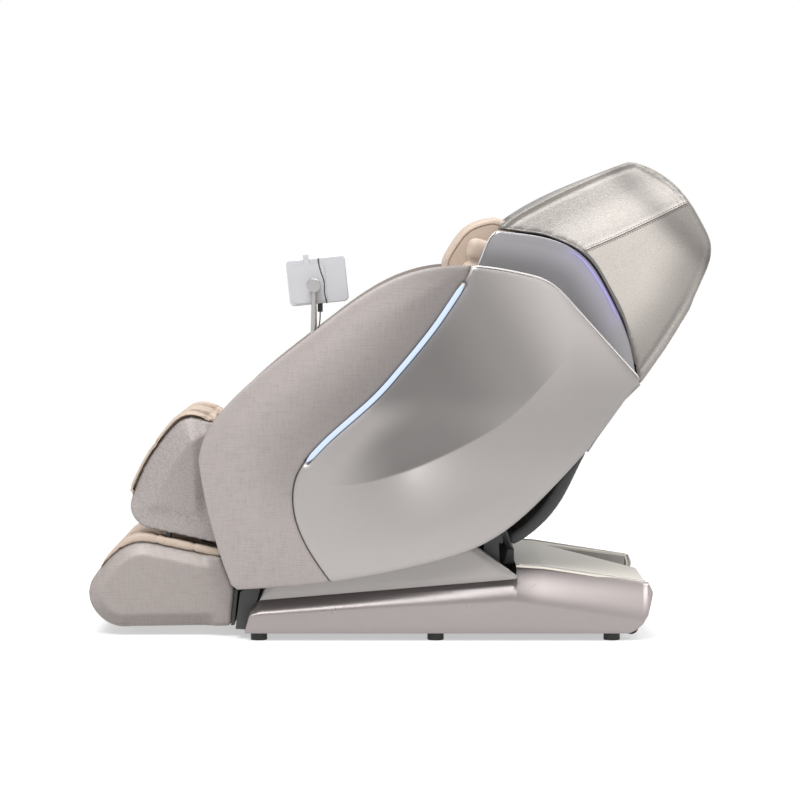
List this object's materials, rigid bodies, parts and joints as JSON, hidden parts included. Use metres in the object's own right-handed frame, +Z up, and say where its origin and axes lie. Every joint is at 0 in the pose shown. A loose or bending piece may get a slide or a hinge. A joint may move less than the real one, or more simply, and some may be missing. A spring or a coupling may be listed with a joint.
{
  "type": "massage chair",
  "caption": "Reclining full-body massage chair with hooded backrest, tall side panels, lifting calf rest, sliding foot rest, wide low base and a swivelling tablet control.",
  "frame": {"origin": "centre of the bounding box's footprint on the floor", "axes": "+X toward the rear of the chair, +Y toward the sitter's right, +Z up; the sitter faces -X"},
  "size_m": [1.5951, 0.772, 1.22],
  "materials": {
    "painted_silver": "satin champagne silver paint",
    "woven_panel": "linen-weave coated panel skin",
    "grained_panel": "fine-grain pearl leatherette skin",
    "tan_leather": "soft tan leather with sewn seams",
    "accent_gloss": "pale lavender silver gloss",
    "light_blue": "opal light diffuser",
    "light_violet": "opal light diffuser",
    "dark_fabric": "dark grey upholstery fabric",
    "dark_plastic": "dark grey textured",
    "black_rubber": "matte black",
    "frame_steel": "black powder coat",
    "bright_steel": "ground bright",
    "brushed_alu": "brushed",
    "roller_plastic": "ivory nylon",
    "tablet_silver": "satin silver",
    "tablet_glass": "black glass front",
    "cable_black": "black"
  },
  "bodies": {
    "base": {"base_pan": "frame_steel", "base_side_cover_left": "painted_silver", "base_side_cover_right": "painted_silver", "base_rear_deck": "painted_silver", "inlet_tray": "painted_silver", "power_inlet": "dark_plastic", "base_front_cover": "dark_plastic", "wing_cover_left": "painted_silver", "wing_cover_right": "painted_silver", "rubber_feet": "black_rubber", "wheel_forks": "frame_steel", "slide_rails": "bright_steel", "control_box": "dark_plastic", "air_pump": "dark_plastic"},
    "wheel_left": {"transport_wheel_left": "black_rubber"},
    "wheel_right": {"transport_wheel_right": "black_rubber"},
    "rocker": {"power_rocker": "dark_plastic"},
    "carriage": {"carriage_sides": "frame_steel", "carriage_crossbars": "frame_steel"},
    "seat": {"seat_side_plates": "frame_steel", "calf_hinge_shaft": "bright_steel", "seat_pan": "frame_steel", "seat_cushion": "tan_leather", "arm_trim_left": "tan_leather", "arm_trim_right": "tan_leather", "tablet_socket": "bright_steel", "side_panel_front_left": "woven_panel", "side_panel_front_right": "woven_panel", "side_panel_rear_left": "painted_silver", "side_panel_rear_right": "painted_silver", "led_strips": "light_blue"},
    "post": {"tablet_post": "brushed_alu"},
    "knob": {"tablet_knob": "brushed_alu"},
    "tablet": {"tablet_holder": "tablet_silver", "tablet_body": "tablet_silver", "tablet_screen": "tablet_glass", "tablet_plug": "cable_black", "tablet_cable": "cable_black"},
    "back": {"back_frame": "frame_steel", "back_track_rails": "bright_steel", "hood_shell": "grained_panel", "accent_panel_left": "accent_gloss", "accent_panel_right": "accent_gloss", "accent_lights": "light_violet", "rear_cover": "painted_silver", "lower_back_cover": "dark_fabric", "back_cushion": "tan_leather", "head_pillow": "tan_leather", "shoulder_pads": "tan_leather"},
    "massage": {"massage_carriage": "frame_steel"},
    "massage_hand_left": {"massage_arm_left": "frame_steel", "massage_rollers_left": "roller_plastic"},
    "massage_hand_right": {"massage_arm_right": "frame_steel", "massage_rollers_right": "roller_plastic"},
    "calf": {"calf_shell": "grained_panel", "calf_pad": "tan_leather"},
    "foot": {"foot_shell": "woven_panel", "foot_pad": "tan_leather", "foot_rods": "bright_steel", "foot_rear_cover": "dark_plastic"}
  },
  "joints": [
    {"name": "transport_wheel_left_spin", "type": "hinge", "parent": "base", "child": "wheel_left", "pos_m": [0.599, -0.262, 0.03], "axis": [0, 1, 0], "continuous": true},
    {"name": "transport_wheel_right_spin", "type": "hinge", "parent": "base", "child": "wheel_right", "pos_m": [0.599, 0.262, 0.03], "axis": [0, 1, 0], "continuous": true},
    {"name": "power_rocker_tip", "type": "hinge", "parent": "base", "child": "rocker", "pos_m": [0.51314, 0.24392, 0.126], "axis": [0, 0, 1], "range_deg": [-6, 6]},
    {"name": "seat_slide", "type": "slide", "parent": "base", "child": "carriage", "axis": [-1, 0, 0], "range_m": [0, 0.1]},
    {"name": "seat_tilt", "type": "hinge", "parent": "carriage", "child": "seat", "pos_m": [0.24, 0, 0.262], "axis": [0, 1, 0], "range_deg": [0, 10]},
    {"name": "backrest_recline", "type": "hinge", "parent": "seat", "child": "back", "pos_m": [0.17, 0, 0.42], "axis": [0, 1, 0], "range_deg": [0, 32]},
    {"name": "massage_travel", "type": "slide", "parent": "back", "child": "massage", "axis": [0.2672, 0, 0.9636], "range_m": [0, 0.33]},
    {"name": "massage_hand_left_swing", "type": "hinge", "parent": "massage", "child": "massage_hand_left", "pos_m": [0.1745, 0, 0.54847], "axis": [0, 1, 0], "range_deg": [-6, 6]},
    {"name": "massage_hand_right_swing", "type": "hinge", "parent": "massage", "child": "massage_hand_right", "pos_m": [0.1745, 0, 0.54847], "axis": [0, 1, 0], "range_deg": [-6, 6]},
    {"name": "calf_rest_lift", "type": "hinge", "parent": "seat", "child": "calf", "pos_m": [-0.425, 0, 0.44], "axis": [0, 1, 0], "range_deg": [0, 75]},
    {"name": "foot_rest_extend", "type": "slide", "parent": "calf", "child": "foot", "axis": [-0.2164, 0, -0.9763], "range_m": [0, 0.15]},
    {"name": "tablet_swivel", "type": "hinge", "parent": "seat", "child": "post", "pos_m": [-0.212, -0.305, 0.75], "axis": [0, 0, 1], "range_deg": [-20, 60]},
    {"name": "tablet_knob_turn", "type": "hinge", "parent": "post", "child": "knob", "pos_m": [-0.212, -0.325, 0.905], "axis": [0, 1, 0], "range_deg": [-60, 60]},
    {"name": "tablet_tilt", "type": "hinge", "parent": "post", "child": "tablet", "pos_m": [-0.212, -0.305, 0.905], "axis": [1, 0, 0], "range_deg": [-8, 30], "deforming": ["tablet_cable"]}
  ],
  "couplings": [
    {"joint": "seat_slide", "follows": "backrest_recline", "m_per_rad": 0.17885},
    {"joint": "massage_hand_right_swing", "follows": "massage_hand_left_swing", "ratio": -1}
  ]
}
